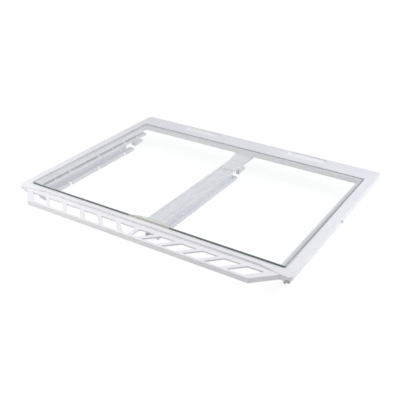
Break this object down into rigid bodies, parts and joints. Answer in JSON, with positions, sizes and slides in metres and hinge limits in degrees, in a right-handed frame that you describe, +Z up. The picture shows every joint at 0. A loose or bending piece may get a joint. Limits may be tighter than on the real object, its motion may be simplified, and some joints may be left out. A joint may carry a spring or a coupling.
{
  "type": "refrigerator crisper cover",
  "caption": "Moulded crisper cover with a glass shelf, a slatted front grille and three drawer rails hung underneath.",
  "frame": {"origin": "on the ground under the middle of the cover: centre of the width and depth, at the level of the lowest edges of the rails", "axes": "+X to the right along the width, +Y from the grille at the front towards the back wall, +Z up through the glass"},
  "size_m": [0.609, 0.498, 0.05],
  "materials": {
    "frame_plastic": "glossy white moulding",
    "rail_plastic": "glossy white moulding",
    "tempered_glass": "clear, polished, with a green-black edge",
    "screw_steel": "zinc plated"
  },
  "bodies": {
    "root": {"cover_frame": "frame_plastic", "glass_panel": "tempered_glass", "centre_rail": "rail_plastic", "left_rail": "rail_plastic", "right_rail": "rail_plastic", "centre_rail_screws": "screw_steel", "left_rail_screws": "screw_steel", "right_rail_screws": "screw_steel"}
  },
  "joints": []
}
